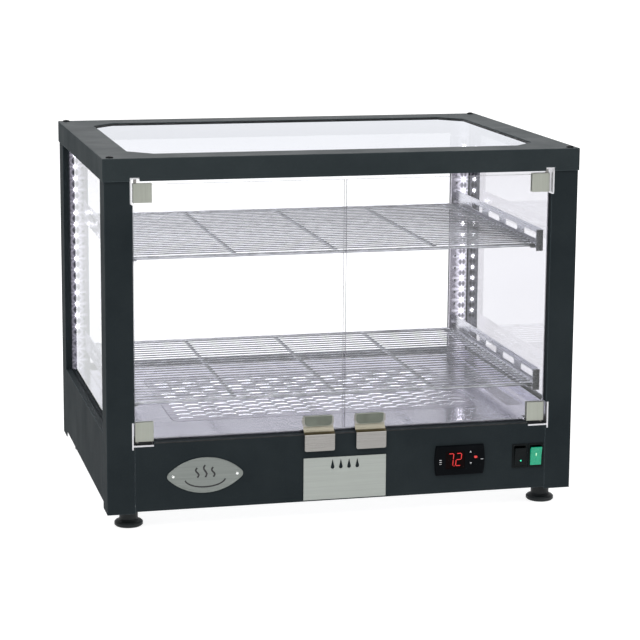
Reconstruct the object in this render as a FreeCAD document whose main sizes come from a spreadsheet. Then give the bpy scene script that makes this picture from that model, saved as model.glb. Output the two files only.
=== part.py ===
import FreeCAD, Part
import math
import os
import re

import Sketcher
from FreeCAD import Placement, Rotation, Vector

# Heated glass display case for a counter. Millimetres, +X to the right seen from the front, +Y to the
# back, +Z up. The origin is the centre of the footprint, on the plane that the feet stand on.

doc = FreeCAD.newDocument("display_case")

# ---------------------------------------------------------------- driving dimensions

BODY_DEPTH = 560.0
PULL_PROUD = 3.5
FRONT_Y = (PULL_PROUD - BODY_DEPTH) / 2

DIMENSIONS = {
    # frame
    "case_w": 780.0, "front_y": FRONT_Y, "back_y": FRONT_Y + BODY_DEPTH,
    "foot_gap": 27.5, "cap_top": 597.0, "apron_drop": 36.0, "sheet": 1.5,
    "post_inset": 2.0, "post_w": 44.5, "side_flange": 45.0, "front_return": 19.0, "side_return": 8.5,
    "window_half_w": 339.0, "window_margin": 55.0, "window_chamfer": 38.0,
    "screw_r": 6.2, "screw_rise": 3.0, "screw_inset": 13.0,
    # glass
    "pane": 4.0, "door_pane": 5.0, "pane_bottom": 152.5, "gasket": 1.0,
    "door_bottom": 148.0, "door_top": 554.5, "door_setback": 10.5, "door_half_gap": 2.0,
    "door_edge_x": 341.0,
    # hinges
    "pivot_x": 338.0, "pin_r": 2.5, "pin_play": 0.05, "clamp_inner_x": 312.0, "clamp_block_x": 334.0,
    "clamp_outer_x": 342.0, "clamp_plate": 2.0, "clamp_low_z": 143.5, "clamp_low_top": 175.0,
    "clamp_high_bottom": 526.0, "clamp_high_z": 556.5, "bracket_x": 345.0, "bracket_t": 2.5,
    "bracket_depth": 28.0,
    # pulls
    "pull_inner_x": 18.0, "pull_w": 50.0, "pull_t": 1.5, "pull_proud": PULL_PROUD, "pull_low": 115.0,
    "pull_top": 170.0, "pull_pad_x": 17.0, "pull_pad_w": 53.0, "pull_pad_bottom": 155.5,
    # base
    "fascia_top": 143.0, "fascia_half_w": 343.0, "fascia_lip": 15.0, "pan_z": 38.5, "deck_z": 147.0, "deck_t": 1.2,
    "deck_half_w": 368.4, "plate_half_w": 261.5, "plate_front": 113.0, "plate_depth": 312.0,
    "slot_band_x": 324.5, "drawer_half_w": 69.0, "drawer_bottom": 32.8, "drawer_top": 103.0,
    "tub_half_w": 60.0, "tub_z": 44.0, "tub_top": 80.0, "tub_l": 296.0, "tub_wall": 1.2,
    "foot_x": 349.0, "foot_inset": 38.0, "foot_r": 23.0, "foot_neck_r": 15.0,
    # controls
    "control_x": 194.7, "control_z": 86.0, "control_w": 81.0, "control_tall": 49.5, "bezel_rise": 4.0,
    "lamp_switch_x": 299.2, "power_switch_x": 326.9, "switch_z": 86.5, "switch_w": 26.0,
    "switch_tall": 40.5, "badge_x": 230.5, "badge_z": 85.3, "badge_a": 61.7, "badge_b": 29.2,
    # inside
    "upright_in_x": 341.0, "upright_out_x": 373.0, "upright_y_gap": 23.5, "led_x": 363.5,
    "led_pitch": 20.8, "led_low_z": 226.0, "rack_low_z": 183.5, "rack_high_z": 420.0,
    "rack_tall": 36.5, "rack_step": 5.5, "rack_x": 349.0, "rack_front": 57.0, "shelf_half_w": 336.0, "shelf_front": 59.0,
    "shelf_rod_r": 3.0, "shelf_wire_r": 1.25, "shelf_pitch": 18.0,
}

sheet = doc.addObject("Spreadsheet::Sheet", "Dims")
for row, (alias, value) in enumerate(DIMENSIONS.items(), start=1):
    sheet.set(f"A{row}", alias)
    sheet.set(f"B{row}", str(value))
    sheet.setAlias(f"B{row}", alias)
doc.recompute()


def val(alias):
    """The number in one cell of the sheet."""
    return float(sheet.get(alias))


def bound(text):
    """An expression on the sheet's cells, from text such as 'case_w / 2 - sheet'."""
    return re.sub(r"[a-z_]\w*", lambda found: "Dims." + found.group(0), str(text))


def number(text):
    """The value of such an expression now."""
    return float(sheet.evalExpression(bound(text)))


F = "front_y"
B = "back_y"
NODES = []


def keep(shape_object, label):
    """Names a finished sub-part and puts it on the list of those to write."""
    shape_object.Label = label
    NODES.append(shape_object)
    return shape_object


# ---------------------------------------------------------------- helpers for primitives and booleans

def block(x0, x1, y0, y1, z0, z1):
    """A box between six expressions."""
    made = doc.addObject("Part::Box", "block")
    made.setExpression("Length", f"({bound(x1)}) - ({bound(x0)})")
    made.setExpression("Width", f"({bound(y1)}) - ({bound(y0)})")
    made.setExpression("Height", f"({bound(z1)}) - ({bound(z0)})")
    for axis, low in zip("xyz", (x0, y0, z0)):
        made.setExpression(f"Placement.Base.{axis}", bound(low))
    return made


TURNS = {
    "X": Rotation(Vector(0, 1, 0), 90),
    "Y": Rotation(Vector(1, 0, 0), -90),
    "Z": Rotation(),
}


def rod(radius, length, x, y, z, axis="Z"):
    """A cylinder that starts at (x, y, z) and runs along +axis."""
    made = doc.addObject("Part::Cylinder", "rod")
    made.setExpression("Radius", bound(radius))
    made.setExpression("Height", bound(length))
    made.Placement.Rotation = TURNS[axis]
    for name, at in zip("xyz", (x, y, z)):
        made.setExpression(f"Placement.Base.{name}", bound(at))
    return made


def group(*members):
    """Separate solids kept together as one sub-part."""
    made = doc.addObject("Part::Compound", "group")
    made.Links = list(members)
    return made


def fuse(*members):
    made = doc.addObject("Part::MultiFuse", "fused")
    made.Shapes = list(members)
    made.Refine = True
    return made


def cut(base, *tools):
    made = doc.addObject("Part::Cut", "cut")
    made.Base = base
    made.Tool = tools[0] if len(tools) == 1 else group(*tools)
    made.Refine = True
    return made


def rounded(base, radius, choose):
    """Rounds the edges of base for which choose(edge) is true."""
    doc.recompute()
    made = doc.addObject("Part::Fillet", "rounded")
    made.Base = base
    picked = [n for n, edge in enumerate(base.Shape.Edges, start=1) if choose(edge)]
    made.Edges = [(n, radius, radius) for n in picked]
    return made


def runs_along(edge, axis):
    """True for a straight edge along X, Y or Z (0, 1 or 2)."""
    if len(edge.Vertexes) < 2 or edge.Curve.TypeId != "Part::GeomLine":
        return False
    way = edge.Vertexes[1].Point - edge.Vertexes[0].Point
    return abs(way[axis]) > 0.999 * way.Length


def at_corner(edge, y, z):
    """True for an edge whose middle is at the height z and the depth y."""
    middle = edge.CenterOfMass
    return math.hypot(middle.y - number(y), middle.z - number(z)) < 0.1


def mirrored(source):
    """The same piece on the other side of the case."""
    made = doc.addObject("Part::Mirroring", "mirrored")
    made.Source = source
    made.Base = Vector(0, 0, 0)
    made.Normal = Vector(1, 0, 0)
    return made


def both_sides(make, name_left, name_right):
    """Makes the right-hand piece with make() and its mirror image on the left."""
    right = keep(make(), name_right)
    keep(mirrored(right), name_left)


def pair(right, label):
    """Keeps a piece and its mirror image together as one sub-part of two solids."""
    return keep(group(right, mirrored(right)), label)


# ---------------------------------------------------------------- helpers for bodies with sketches

PLANE_OF_AXIS = {"Z": "XY_Plane", "Y": "XZ_Plane", "X": "YZ_Plane"}


def new_body(name):
    body = doc.addObject("PartDesign::Body", name)
    body.AllowCompound = True
    return body


def sketch_on(body, axis, at="0"):
    """An empty sketch on the origin plane across axis, moved to the coordinate at along it."""
    plane = next(f for f in body.Origin.OriginFeatures if f.Role == PLANE_OF_AXIS[axis])
    sketch = body.newObject("Sketcher::SketchObject", "sketch")
    sketch.AttachmentSupport = [(plane, "")]
    sketch.MapMode = "FlatFace"
    sign = "-" if axis == "Y" else ""
    sketch.setExpression("AttachmentOffset.Base.z", f"{sign}({bound(at)})")
    return sketch


def outline(sketch, points):
    """A closed polygon; each corner is a pair of expressions, and each is held by two dimensions."""
    corners = [Vector(number(a), number(b), 0) for a, b in points]
    for start, end in zip(corners, corners[1:] + corners[:1]):
        sketch.addGeometry(Part.LineSegment(start, end), False)
    first = sketch.GeometryCount - len(corners)
    for n, (a, b) in enumerate(points):
        line = first + n
        before = first + (n - 1) % len(points)
        sketch.addConstraint(Sketcher.Constraint("Coincident", before, 2, line, 1))
        for kind, text in (("DistanceX", a), ("DistanceY", b)):
            held = sketch.addConstraint(Sketcher.Constraint(kind, line, 1, number(text)))
            sketch.setExpression(f"Constraints[{held}]", bound(text))
    return sketch


def circle(sketch, x, y, radius):
    """A circle with its centre and radius bound to expressions."""
    shape = Part.Circle(Vector(number(x), number(y), 0), Vector(0, 0, 1), number(radius))
    made = sketch.addGeometry(shape, False)
    for kind, text in (("DistanceX", x), ("DistanceY", y)):
        held = sketch.addConstraint(Sketcher.Constraint(kind, made, 3, number(text)))
        sketch.setExpression(f"Constraints[{held}]", bound(text))
    held = sketch.addConstraint(Sketcher.Constraint("Radius", made, number(radius)))
    sketch.setExpression(f"Constraints[{held}]", bound(radius))


def slot_hole(sketch, x, y, length, width):
    """A hole with round ends, its length along the sketch's first axis."""
    r = width / 2
    reach = length / 2 - r
    top = Part.LineSegment(Vector(x - reach, y + r, 0), Vector(x + reach, y + r, 0))
    low = Part.LineSegment(Vector(x + reach, y - r, 0), Vector(x - reach, y - r, 0))
    right = Part.ArcOfCircle(
        Part.Circle(Vector(x + reach, y, 0), Vector(0, 0, 1), r), -math.pi / 2, math.pi / 2)
    left = Part.ArcOfCircle(
        Part.Circle(Vector(x - reach, y, 0), Vector(0, 0, 1), r), math.pi / 2, 3 * math.pi / 2)
    sketch.addGeometry([top, low, right, left], False)


def pad(body, sketch, length, both_ways=False):
    """Adds material along the plane's normal (along -Y from a sketch across Y)."""
    made = body.newObject("PartDesign::Pad", "pad")
    made.Profile = sketch
    made.setExpression("Length", bound(length))
    made.Midplane = both_ways
    return made


def pocket_through(body, sketch):
    """Cuts the sketch right through, both ways."""
    made = body.newObject("PartDesign::Pocket", "pocket")
    made.Profile = sketch
    made.Type = "ThroughAll"
    made.Midplane = True
    return made


def turned(body, points):
    """A piece turned about the body's own Z axis from a half profile of (radius, height) pairs."""
    sketch = outline(sketch_on(body, "Y"), points)
    made = body.newObject("PartDesign::Revolution", "turned")
    made.Profile = sketch
    made.ReferenceAxis = (sketch, ["V_Axis"])
    made.Angle = 360
    return made


def place(body, x="0", y="0", z="0"):
    for axis, at in zip("xyz", (x, y, z)):
        body.setExpression(f"Placement.Base.{axis}", bound(at))
    return body


# ---------------------------------------------------------------- frame

def front_post():
    """Folded angle with a deep inner return; the hinge brackets stand in its two notches."""
    out, inn = "case_w / 2 - post_inset", "case_w / 2 - post_inset - post_w"
    front = f"{F} + post_inset"
    rear = f"{F} + post_inset + side_flange"
    body = new_body("front_post")
    profile = outline(sketch_on(body, "Z", "foot_gap"), [
        (inn, front), (out, front), (out, rear),
        (f"{out} - side_return - sheet", rear), (f"{out} - side_return - sheet", f"{rear} - sheet"),
        (f"{out} - sheet", f"{rear} - sheet"), (f"{out} - sheet", f"{front} + sheet"),
        (f"{inn} + sheet", f"{front} + sheet"), (f"{inn} + sheet", f"{front} + front_return"),
        (inn, f"{front} + front_return")])
    folded = pad(body, profile, "cap_top - sheet - foot_gap")
    doc.recompute()
    corner = Vector(number(out), number(front), 0)
    names = [f"Edge{n}" for n, e in enumerate(folded.Shape.Edges, start=1)
             if runs_along(e, 2) and math.hypot(e.CenterOfMass.x - corner.x, e.CenterOfMass.y - corner.y) < 0.1]
    bend = body.newObject("PartDesign::Fillet", "bend")
    bend.Base = (folded, names)
    bend.Radius = 1.2
    bracket_back = f"{F} + post_inset + bracket_depth + 1"
    low = block(f"{inn} - 1", "bracket_x + bracket_t", f"{F} - 1", bracket_back, "132", "176")
    high = block(f"{inn} - 1", "bracket_x + bracket_t", f"{F} - 1", bracket_back, "523", "566.5")
    skirt = block(f"{inn} - 1", f"{inn} + sheet + 0.2", f"{front} + sheet", f"{front} + front_return + 1",
                  "foot_gap - 1", "pan_z + sheet + 0.3")
    ledge = block(f"{out} - side_return - 2", f"{out} - sheet", f"{rear} - sheet - 0.1", f"{rear} + 1",
                  "foot_gap - 1", "pan_z + sheet + 0.3")
    return cut(body, low, high, skirt, ledge)


def rear_post():
    """Folded angle with a short return on both flanges, which the panes lie against."""
    out, inn = "case_w / 2 - post_inset", "case_w / 2 - post_inset - post_w"
    back = f"{B} - post_inset"
    front = f"{B} - post_inset - side_flange"
    body = new_body("rear_post")
    profile = outline(sketch_on(body, "Z", "foot_gap"), [
        (inn, back), (out, back), (out, front),
        (f"{out} - side_return - sheet", front), (f"{out} - side_return - sheet", f"{front} + sheet"),
        (f"{out} - sheet", f"{front} + sheet"), (f"{out} - sheet", f"{back} - sheet"),
        (f"{inn} + sheet", f"{back} - sheet"), (f"{inn} + sheet", f"{back} - side_return - sheet"),
        (inn, f"{back} - side_return - sheet")])
    pad(body, profile, "cap_top - sheet - foot_gap")
    skirt = block(f"{inn} - 1", f"{inn} + sheet + 0.2", f"{back} - side_return - 3", f"{back} - sheet",
                  "foot_gap - 1", "pan_z + sheet + 0.3")
    ledge = block(f"{out} - side_return - 2", f"{out} - sheet", f"{front} - 1", f"{front} + sheet + 0.1",
                  "foot_gap - 1", "pan_z + sheet + 0.3")
    return cut(body, skirt, ledge)


def window_outline(sketch, grow):
    """The eight-sided window in the top frame, made larger all round by grow."""
    x = f"window_half_w + {grow}"
    y0 = f"{F} + window_margin - {grow}"
    y1 = f"{B} - window_margin + {grow}"
    c = "window_chamfer"
    return outline(sketch, [
        (f"{c} - ({x})", y0), (f"{x} - {c}", y0), (x, f"{y0} + {c}"), (x, f"{y1} - {c}"),
        (f"{x} - {c}", y1), (f"{c} - ({x})", y1), (f"-({x})", f"{y1} - {c}"), (f"-({x})", f"{y0} + {c}")])


def top_frame():
    """Shallow folded lid with a deep apron, an eight-sided window and a notch over each top hinge."""
    lid = block("-case_w / 2", "case_w / 2", F, B, "cap_top - apron_drop", "cap_top")
    lid = rounded(lid, 3.0, lambda e: runs_along(e, 2))
    top = val("cap_top")
    lid = rounded(lid, 1.4, lambda e: e.BoundBox.ZMin > top - 0.01)
    hollow = block("sheet - case_w / 2", "case_w / 2 - sheet", f"{F} + sheet", f"{B} - sheet",
                   "cap_top - apron_drop - 1", "cap_top - sheet")
    hollow = rounded(hollow, 1.5, lambda e: runs_along(e, 2))
    window = new_body("window")
    pad(window, window_outline(sketch_on(window, "Z", "cap_top - 5"), "0"), "10")
    notches = [block("332.5", "348", f"{F} - 1", f"{F} + sheet + 0.4", "cap_top - apron_drop - 1", "566.8"),
               block("-348", "-332.5", f"{F} - 1", f"{F} + sheet + 0.4", "cap_top - apron_drop - 1", "566.8")]
    return keep(cut(lid, hollow, window, *notches), "top_frame")


def top_screws():
    """Four round-headed screws that tie the lid to the posts."""
    heads = []
    for n, (x, y) in enumerate(corner_places("case_w / 2 - screw_inset", "screw_inset + 1")):
        body = new_body(f"screw_{n}")
        turned(body, [("0", "0"), ("screw_r", "0"), ("screw_r", "0.9"), ("screw_r * 0.82", "screw_rise * 0.72"),
                      ("screw_r * 0.5", "screw_rise * 0.95"), ("0", "screw_rise")])
        heads.append(place(body, x, y, "cap_top"))
    return keep(group(*heads), "top_screws")


def corner_places(x, inset):
    """The four corners of the case: x either side, inset from the front and the back."""
    return [(f"{side}({x})", y) for side in ("-", "") for y in (f"{F} + {inset}", f"{B} - ({inset})")]


# ---------------------------------------------------------------- glass

def fixed_glass():
    side = "case_w / 2 - post_inset - sheet - side_return"
    right = keep(block(f"{side} - pane", side, f"{F} + 30", f"{B} - 30", "pane_bottom", "590"), "right_glass")
    keep(mirrored(right), "left_glass")
    back = f"{B} - post_inset - sheet - side_return"
    keep(block("-358", "358", f"{back} - pane", back, "pane_bottom", "590"), "rear_glass")
    under = "cap_top - sheet - gasket"
    keep(block("-365", "365", f"{F} + 28", f"{B} - 28", f"{under} - pane", under), "top_glass")


def top_gasket():
    """Rubber ring between the top frame and the top glass."""
    body = new_body("gasket_ring")
    z = "cap_top - sheet - gasket"
    pad(body, window_outline(sketch_on(body, "Z", z), "18"), "gasket")
    pocket_through(body, window_outline(sketch_on(body, "Z", z), "-2.5"))
    keep(body, "top_gasket")


# ---------------------------------------------------------------- doors

def door_glass():
    """The right-hand leaf, with a corner notched out for each clamp."""
    body = new_body("door_leaf")
    edge, block_x = "door_edge_x", "clamp_block_x - 0.2"
    sketch = outline(sketch_on(body, "Y", f"{F} + door_setback"), [
        ("door_half_gap", "door_bottom"), (block_x, "door_bottom"), (block_x, "clamp_low_top + 0.2"),
        (edge, "clamp_low_top + 0.2"), (edge, "clamp_high_bottom - 0.2"),
        (block_x, "clamp_high_bottom - 0.2"), (block_x, "door_top"), ("door_half_gap", "door_top")])
    made = pad(body, sketch, "door_pane")
    made.Reversed = True
    return body


def corner_clamp(low, high, web_low, web_high, hole_from):
    """A bent clamp on a corner of the leaf, with a solid block at its outer side for the pivot."""
    front = f"{F} + door_setback - clamp_plate"
    back = f"{F} + door_setback + door_pane + clamp_plate"
    middle = f"{F} + door_setback + door_pane / 2"
    whole = block("clamp_inner_x", "clamp_outer_x", front, back, low, high)
    whole = rounded(whole, 1.0, lambda e: runs_along(e, 2) and e.CenterOfMass.x > number("clamp_outer_x") - 1)
    slit = block("clamp_inner_x - 1", "clamp_block_x - 0.2", f"{F} + door_setback",
                 f"{F} + door_setback + door_pane", web_low, web_high)
    bore = rod("pin_r + pin_play", "16", "pivot_x", middle, hole_from)
    return cut(whole, slit, bore)


def pull_clamp():
    """Plate with round lower corners that nips the pull to the glass, and its backing plate behind."""
    front = f"{F} + door_setback - pull_t"
    x0, x1 = "pull_inner_x + 1.5", "pull_inner_x + pull_w - 1.5"
    face = block(x0, x1, f"{front} - 1.8", front, "154", "pull_top + 1")
    face = rounded(face, 8.0, lambda e: runs_along(e, 1) and e.CenterOfMass.z < 160)
    back = f"{F} + door_setback + door_pane"
    rear = block(x0, x1, back, f"{back} + 1.5", "153", "pull_top")
    return group(face, rear)


def door_clamps():
    bottom = corner_clamp("clamp_low_z", "clamp_low_top", "door_bottom", "clamp_low_top + 1", "clamp_low_z - 1")
    top = corner_clamp("clamp_high_bottom", "clamp_high_z", "clamp_high_bottom - 1", "door_top", "542")
    return group(bottom, top, pull_clamp())


def door_pull():
    """Bent strip with a wider flat on the glass: it curves forward over the fascia and hangs in front of it."""
    body = new_body("pull_strip")
    glass = f"{F} + door_setback"
    out = f"{F} - pull_proud"
    t = "pull_t"
    sketch = outline(sketch_on(body, "X", "pull_inner_x"), [
        (glass, "pull_top - 6"), (glass, "153.4"), (f"{F} + 7.2", "147.4"), (f"{F} + 3.2", "144.5"),
        (f"{out} + {t}", "141.7"), (f"{out} + {t}", "pull_low"), (out, "pull_low"), (out, "142.6"),
        (f"{F} + 2.6", "145.9"), (f"{F} + 6.1", "148.5"), (f"{glass} - {t}", "154"),
        (f"{glass} - {t}", "pull_top - 6")])
    pad(body, sketch, "pull_w")
    strip = rounded(body, 3.0, lambda e: runs_along(e, 1) and e.CenterOfMass.z < 118)
    flat = block("pull_pad_x", "pull_pad_x + pull_pad_w", f"{glass} - {t}", glass, "pull_pad_bottom", "pull_top")
    flat = rounded(flat, 4.0, lambda e: runs_along(e, 1))
    return fuse(strip, flat)


def hinge_bracket(plate_low, plate_high, leg_low, leg_high, inner):
    """Fixed angle on the frame: an upright leg beside the post and a flat leg that carries the pin."""
    front = f"{F} + post_inset"
    back = f"{front} + bracket_depth"
    upright = block("bracket_x", "bracket_x + bracket_t", front, back, leg_low, leg_high)
    flat = block(inner, "bracket_x + 0.5", front, back, plate_low, plate_high)
    return rounded(fuse(upright, flat), 0.6, lambda e: runs_along(e, 1) and e.CenterOfMass.x > 346)


def hinge_fittings():
    low = hinge_bracket("136.7", "139.2", "132", "176", "313")
    high = hinge_bracket("564", "566.5", "525", "566.5", "313")
    middle = f"{F} + door_setback + door_pane / 2"
    low_pin = rod("pin_r", "16.8", "pivot_x", middle, "139.2")
    high_pin = rod("pin_r", "20", "pivot_x", middle, "544")
    both = [low, mirrored(low), high, mirrored(high)]
    keep(group(*both), "hinge_brackets")
    keep(group(low_pin, mirrored(low_pin), high_pin, mirrored(high_pin)), "hinge_pins")


# ---------------------------------------------------------------- base

def front_fascia():
    """Front sheet folded back along its top, with cut-outs for the tub, the controller and the switches."""
    body = new_body("fascia")
    y = f"{F} + post_inset"
    top, w = "fascia_top", "fascia_half_w"
    face = outline(sketch_on(body, "Y", y), [
        (f"-{w}", "foot_gap + 3"), (w, "foot_gap + 3"), (w, "136.7"), ("312", "136.7"), ("312", top),
        ("-312", top), ("-312", "136.7"), (f"-{w}", "136.7")])
    made = pad(body, face, "sheet")
    made.Reversed = True
    lip = block("-311.5", "311.5", y, f"{y} + fascia_lip", f"{top} - sheet", top)
    sheet_and_lip = rounded(fuse(body, lip), 1.2, lambda e: runs_along(e, 0) and at_corner(e, y, top))
    tub = block("-tub_half_w - 1.5", "tub_half_w + 1.5", f"{y} - 1", f"{y} + 5", "tub_z - 1.5", "tub_top + 1.5")
    brain = block("control_x - 35.7", "control_x + 35.7", f"{y} - 1", f"{y} + 5", "control_z - 14.7",
                  "control_z + 14.7")
    holes = [block(f"{x} - 11", f"{x} + 11", f"{y} - 1", f"{y} + 5", "switch_z - 18.4", "switch_z + 18.4")
             for x in ("lamp_switch_x", "power_switch_x")]
    keep(cut(sheet_and_lip, tub, brain, *holes), "front_fascia")


def side_panel():
    """Lower side sheet, with a flange at the top that the pane stands on."""
    out = "case_w / 2 - post_inset"
    y0, y1 = f"{F} + post_inset + side_flange + 0.3", f"{B} - post_inset - side_flange - 0.3"
    body = new_body("side_sheet")
    profile = outline(sketch_on(body, "Y", y0), [
        (out, "pan_z"), (out, "pane_bottom"), (f"{out} - 16", "pane_bottom"),
        (f"{out} - 16", "pane_bottom - sheet"), (f"{out} - sheet", "pane_bottom - sheet"),
        (f"{out} - sheet", "pan_z")])
    made = pad(body, profile, f"({y1}) - ({y0})")
    made.Reversed = True
    return body


def rear_panel():
    """Lower rear sheet with air slots, a flange under the rear pane and the hole for the cable gland."""
    out = f"{B} - post_inset"
    body = new_body("rear_sheet")
    w = "fascia_half_w"
    profile = outline(sketch_on(body, "X", f"-{w}"), [
        (out, "pan_z"), (out, "pane_bottom"), (f"{out} - 14", "pane_bottom"),
        (f"{out} - 14", "pane_bottom - sheet"), (f"{out} - sheet", "pane_bottom - sheet"),
        (f"{out} - sheet", "pan_z")])
    pad(body, profile, f"2 * {w}")
    vents = sketch_on(body, "Y", out)
    for row in range(6):
        for column in range(5):
            slot_hole(vents, 90.0 + column * 38, 70.0 + row * 9, 28.0, 4.0)
    made = body.newObject("PartDesign::Pocket", "vents")
    made.Profile = vents
    made.Length = 6
    made.Midplane = True
    gland = rod("9", "12", "-290", f"{out} - 8", "70", "Y")
    keep(cut(body, gland), "rear_panel")


def bottom_pan():
    """Floor of the base, which the feet screw into and which carries everything inside."""
    pan = block("-case_w / 2 + post_inset + sheet", "case_w / 2 - post_inset - sheet",
                f"{F} + post_inset + sheet", f"{B} - post_inset - sheet", "pan_z", "pan_z + sheet")
    threads = [rod("5.2", "10", x, y, "pan_z - 3") for x, y in corner_places("foot_x", "foot_inset")]
    vents = [block(f"{x}", f"{x} + 60", f"{y}", f"{y} + 5", "pan_z - 3", "pan_z + 6")
             for x in (-330, -250, 190, 270) for y in (-90, -70, -50, -30)]
    keep(cut(pan, *threads, *vents), "bottom_pan")


def rounded_plate(x0, x1, y0, y1, z0, z1, radius):
    plate = block(x0, x1, y0, y1, z0, z1)
    return rounded(plate, radius, lambda e: runs_along(e, 2))


def deck():
    """Stainless floor of the cabinet: an opening for the louvred plate, and a band of slots each side."""
    z0, z1 = "deck_z - deck_t", "deck_z"
    y0, y1 = f"{F} + post_inset + fascia_lip - deck_t", f"{B} - 17"
    top = block("-deck_half_w", "deck_half_w", y0, y1, z0, z1)
    py0, py1 = f"{F} + plate_front - 2", f"{F} + plate_front + plate_depth + 2"
    hole = rounded_plate("-plate_half_w - 2", "plate_half_w + 2", py0, py1, "deck_z - 3", "deck_z + 3", 17.0)
    corners = [block(x0, x1, f"{y0} - 1", f"{F} + 33", "deck_z - 3", "deck_z + 3")
               for x0, x1 in (("311", "deck_half_w + 1"), ("-deck_half_w - 1", "-311"))]
    skin = cut(top, hole, *corners)
    ledge = rounded_plate("-plate_half_w - 12", "plate_half_w + 12", f"{py0} - 11", f"{py1} + 11",
                          "deck_z - 2 * deck_t", "deck_z - deck_t", 26.0)
    inside = rounded_plate("-plate_half_w + 10", "plate_half_w - 10", f"{py0} + 11", f"{py1} - 11",
                           "deck_z - 5", "deck_z + 3", 8.0)
    ribs = [block(x0, x1, f"{F} + 60", f"{B} - 30", "deck_z - 0.5", top_z)
            for x0, x1, top_z in (("342.6", "346", "deck_z + 2.2"), ("-346", "-342.6", "deck_z + 2.2"),
                                  ("367.2", "deck_half_w", "deck_z + 8"), ("-deck_half_w", "-367.2", "deck_z + 8"))]
    lip = block("-311", "311", y0, f"{y0} + deck_t", "fascia_top", "deck_z - 0.6")
    body = new_body("deck_slots")
    bands = sketch_on(body, "Z", "deck_z - 3")
    first = number(F) + 110
    for row in range(47):
        for side in (-1, 1):
            slot_hole(bands, side * val("slot_band_x"), first + row * 8.0, 28.0, 3.2)
    pad(body, bands, "6")
    keep(cut(fuse(skin, cut(ledge, inside), *ribs, lip), body), "deck")


def deck_plate():
    """Loose louvred plate over the water tub, with rows of staggered slots."""
    body = new_body("plate_slots")
    rows = sketch_on(body, "Z", "deck_z - 3")
    first = number(F) + val("plate_front") + 20
    for row in range(23):
        shift = 25.0 * (row % 2)
        for column in range(10):
            slot_hole(rows, -237.5 + shift + column * 50.0, first + row * 12.4, 25.0, 4.6)
    pad(body, rows, "6")
    plate = rounded_plate("-plate_half_w", "plate_half_w", f"{F} + plate_front",
                          f"{F} + plate_front + plate_depth", "deck_z - deck_t", "deck_z", 15.0)
    keep(cut(plate, body), "deck_plate")


# ---------------------------------------------------------------- water drawer

def water_tub():
    """Open stainless tub."""
    y0 = f"{F} + post_inset"
    outer = block("-tub_half_w", "tub_half_w", y0, f"{y0} + tub_l", "tub_z", "tub_top")
    outer = rounded(outer, 5.0, lambda e: e.CenterOfMass.z < val("tub_z") + 1 and e.CenterOfMass.y > number(y0) + 1)
    inner = block("-tub_half_w + tub_wall", "tub_half_w - tub_wall", f"{y0} + tub_wall",
                  f"{y0} + tub_l - tub_wall", "tub_z + tub_wall", "tub_top + 5")
    inner = rounded(inner, 4.0, lambda e: e.CenterOfMass.z < val("tub_z") + 2)
    keep(cut(outer, inner), "water_tub")


def drawer_front():
    """Stainless face of the drawer, with four drop-shaped holes."""
    body = new_body("drawer_face")
    y = f"{F} + post_inset - 0.2"
    w = "drawer_half_w"
    face = outline(sketch_on(body, "Y", y), [
        (f"-{w}", "drawer_bottom"), (w, "drawer_bottom"), (w, "drawer_top"), (f"-{w}", "drawer_top")])
    pad(body, face, "sheet")
    doc.recompute()
    drops = sketch_on(body, "Y", y)
    for n in range(4):
        drop_hole(drops, 13.8 * (n - 1.5), 86.4, 3.1, 13.2)
    pocket_through(body, drops)
    bridge = block("-tub_half_w", "tub_half_w", f"{y}", f"{F} + post_inset", "tub_z + 6", "tub_top - 0.5")
    keep(fuse(body, bridge), "drawer_front")


def drop_hole(sketch, x, z, radius, rise):
    """A drop: a round bottom about (x, z) and two straight flanks that meet rise above it."""
    half = math.acos(radius / rise)
    tip = Vector(x, z + rise, 0)
    right = Vector(x + radius * math.sin(half), z + radius * math.cos(half), 0)
    left = Vector(2 * x - right.x, right.y, 0)
    start, end = math.pi / 2 + half, math.pi / 2 - half + 2 * math.pi
    bowl = Part.ArcOfCircle(Part.Circle(Vector(x, z, 0), Vector(0, 0, 1), radius), start, end)
    sketch.addGeometry([Part.LineSegment(tip, left), bowl, Part.LineSegment(right, tip)], False)


def tub_runners():
    """Two folded guides on the pan that the tub slides in."""
    body = new_body("runner")
    profile = outline(sketch_on(body, "Y", f"{F} + 8"), [
        ("48", "42.5"), ("61.6", "42.5"), ("61.6", "40"), ("76", "40"), ("76", "41.2"), ("62.8", "41.2"),
        ("62.8", "58"), ("61.6", "58"), ("61.6", "43.7"), ("48", "43.7")])
    made = pad(body, profile, "286")
    made.Reversed = True
    keep(group(body, mirrored(body)), "tub_runners")


# ---------------------------------------------------------------- controls

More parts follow.
